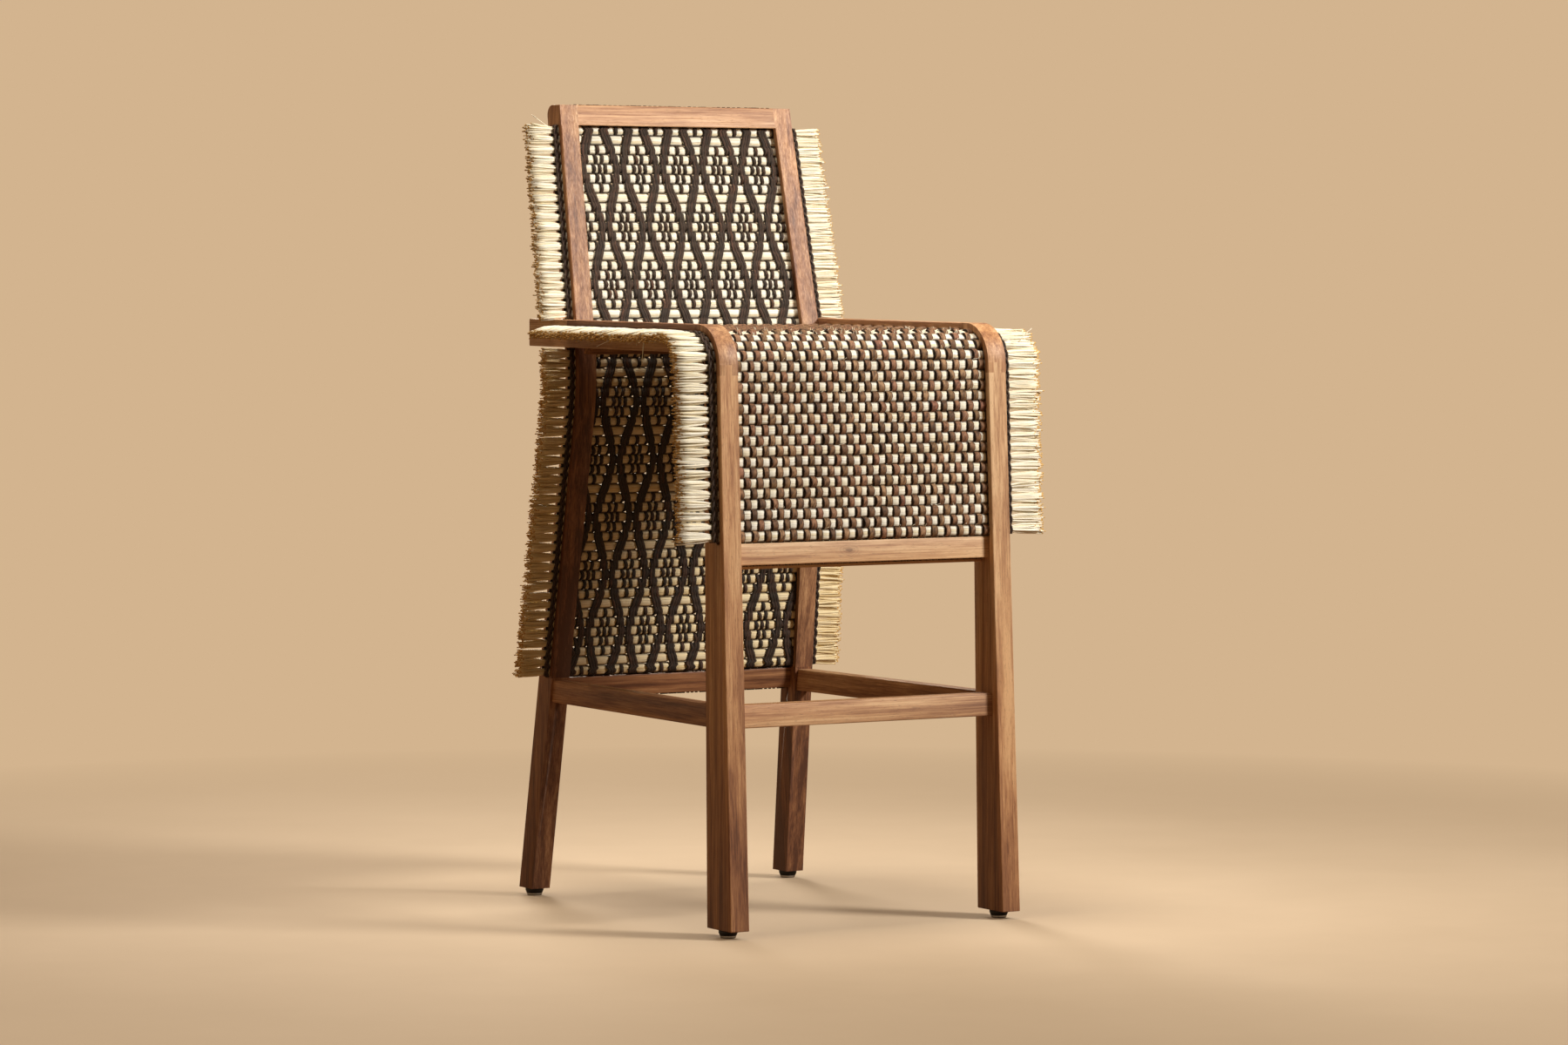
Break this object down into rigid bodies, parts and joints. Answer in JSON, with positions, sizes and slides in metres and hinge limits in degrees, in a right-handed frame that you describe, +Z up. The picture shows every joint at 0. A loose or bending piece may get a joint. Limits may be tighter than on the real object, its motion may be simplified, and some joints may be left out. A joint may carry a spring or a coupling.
{
  "type": "bar stool",
  "caption": "Hardwood bar stool with a low leaning back, a woven straw seat that rolls over the front as an apron, a long woven back and straw fringes along the mat edges.",
  "frame": {"origin": "on the floor under the middle of the stool's box", "axes": "+Z up, -Y towards the front of the seat, +X to the right as seen from the front"},
  "size_m": [0.5422, 0.5652, 1.0475],
  "materials": {
    "frame_wood": "oiled medium brown hardwood, fine straight grain, satin",
    "dowel_wood": "plain hardwood dowel",
    "straw": "bundled natural straw, matt, golden at the cut ends",
    "woven_strips": "dyed dark brown leaf strips, matt, slightly fibrous",
    "bright_steel": "plated steel screws and foot bases",
    "foot_rubber": "black rubber cushion"
  },
  "bodies": {
    "root": {"front_leg_left": "frame_wood", "front_leg_right": "frame_wood", "rear_leg_left": "frame_wood", "rear_leg_right": "frame_wood", "corner_block_left": "frame_wood", "corner_block_right": "frame_wood", "seat_rail_left": "frame_wood", "seat_rail_right": "frame_wood", "front_strip_left": "frame_wood", "front_strip_right": "frame_wood", "corner_strip_left": "frame_wood", "corner_strip_right": "frame_wood", "seat_strip_left": "frame_wood", "seat_strip_right": "frame_wood", "back_strip_left": "frame_wood", "back_strip_right": "frame_wood", "lower_back_strip_left": "frame_wood", "lower_back_strip_right": "frame_wood", "top_rail": "frame_wood", "rear_bottom_rail": "frame_wood", "apron_rail": "frame_wood", "seat_rear_rail": "frame_wood", "top_batten": "frame_wood", "rear_bottom_batten": "frame_wood", "apron_batten": "frame_wood", "seat_rear_batten": "frame_wood", "footrest_rail": "frame_wood", "stretcher_left": "frame_wood", "stretcher_right": "frame_wood", "seat_mat": "straw", "back_mat": "straw", "seat_braid_left": "woven_strips", "seat_braid_right": "woven_strips", "back_braid_left": "woven_strips", "back_braid_right": "woven_strips", "seat_fringe_left": "straw", "seat_fringe_right": "straw", "apron_fringe_left": "straw", "apron_fringe_right": "straw", "upper_back_fringe_left": "straw", "upper_back_fringe_right": "straw", "lower_back_fringe_left": "straw", "lower_back_fringe_right": "straw", "rail_dowels": "dowel_wood", "footrest_dowels": "dowel_wood", "seat_rail_screws": "bright_steel", "batten_screws": "bright_steel", "foot_cushions": "foot_rubber", "foot_bases": "bright_steel", "foot_screws": "bright_steel"}
  },
  "joints": []
}
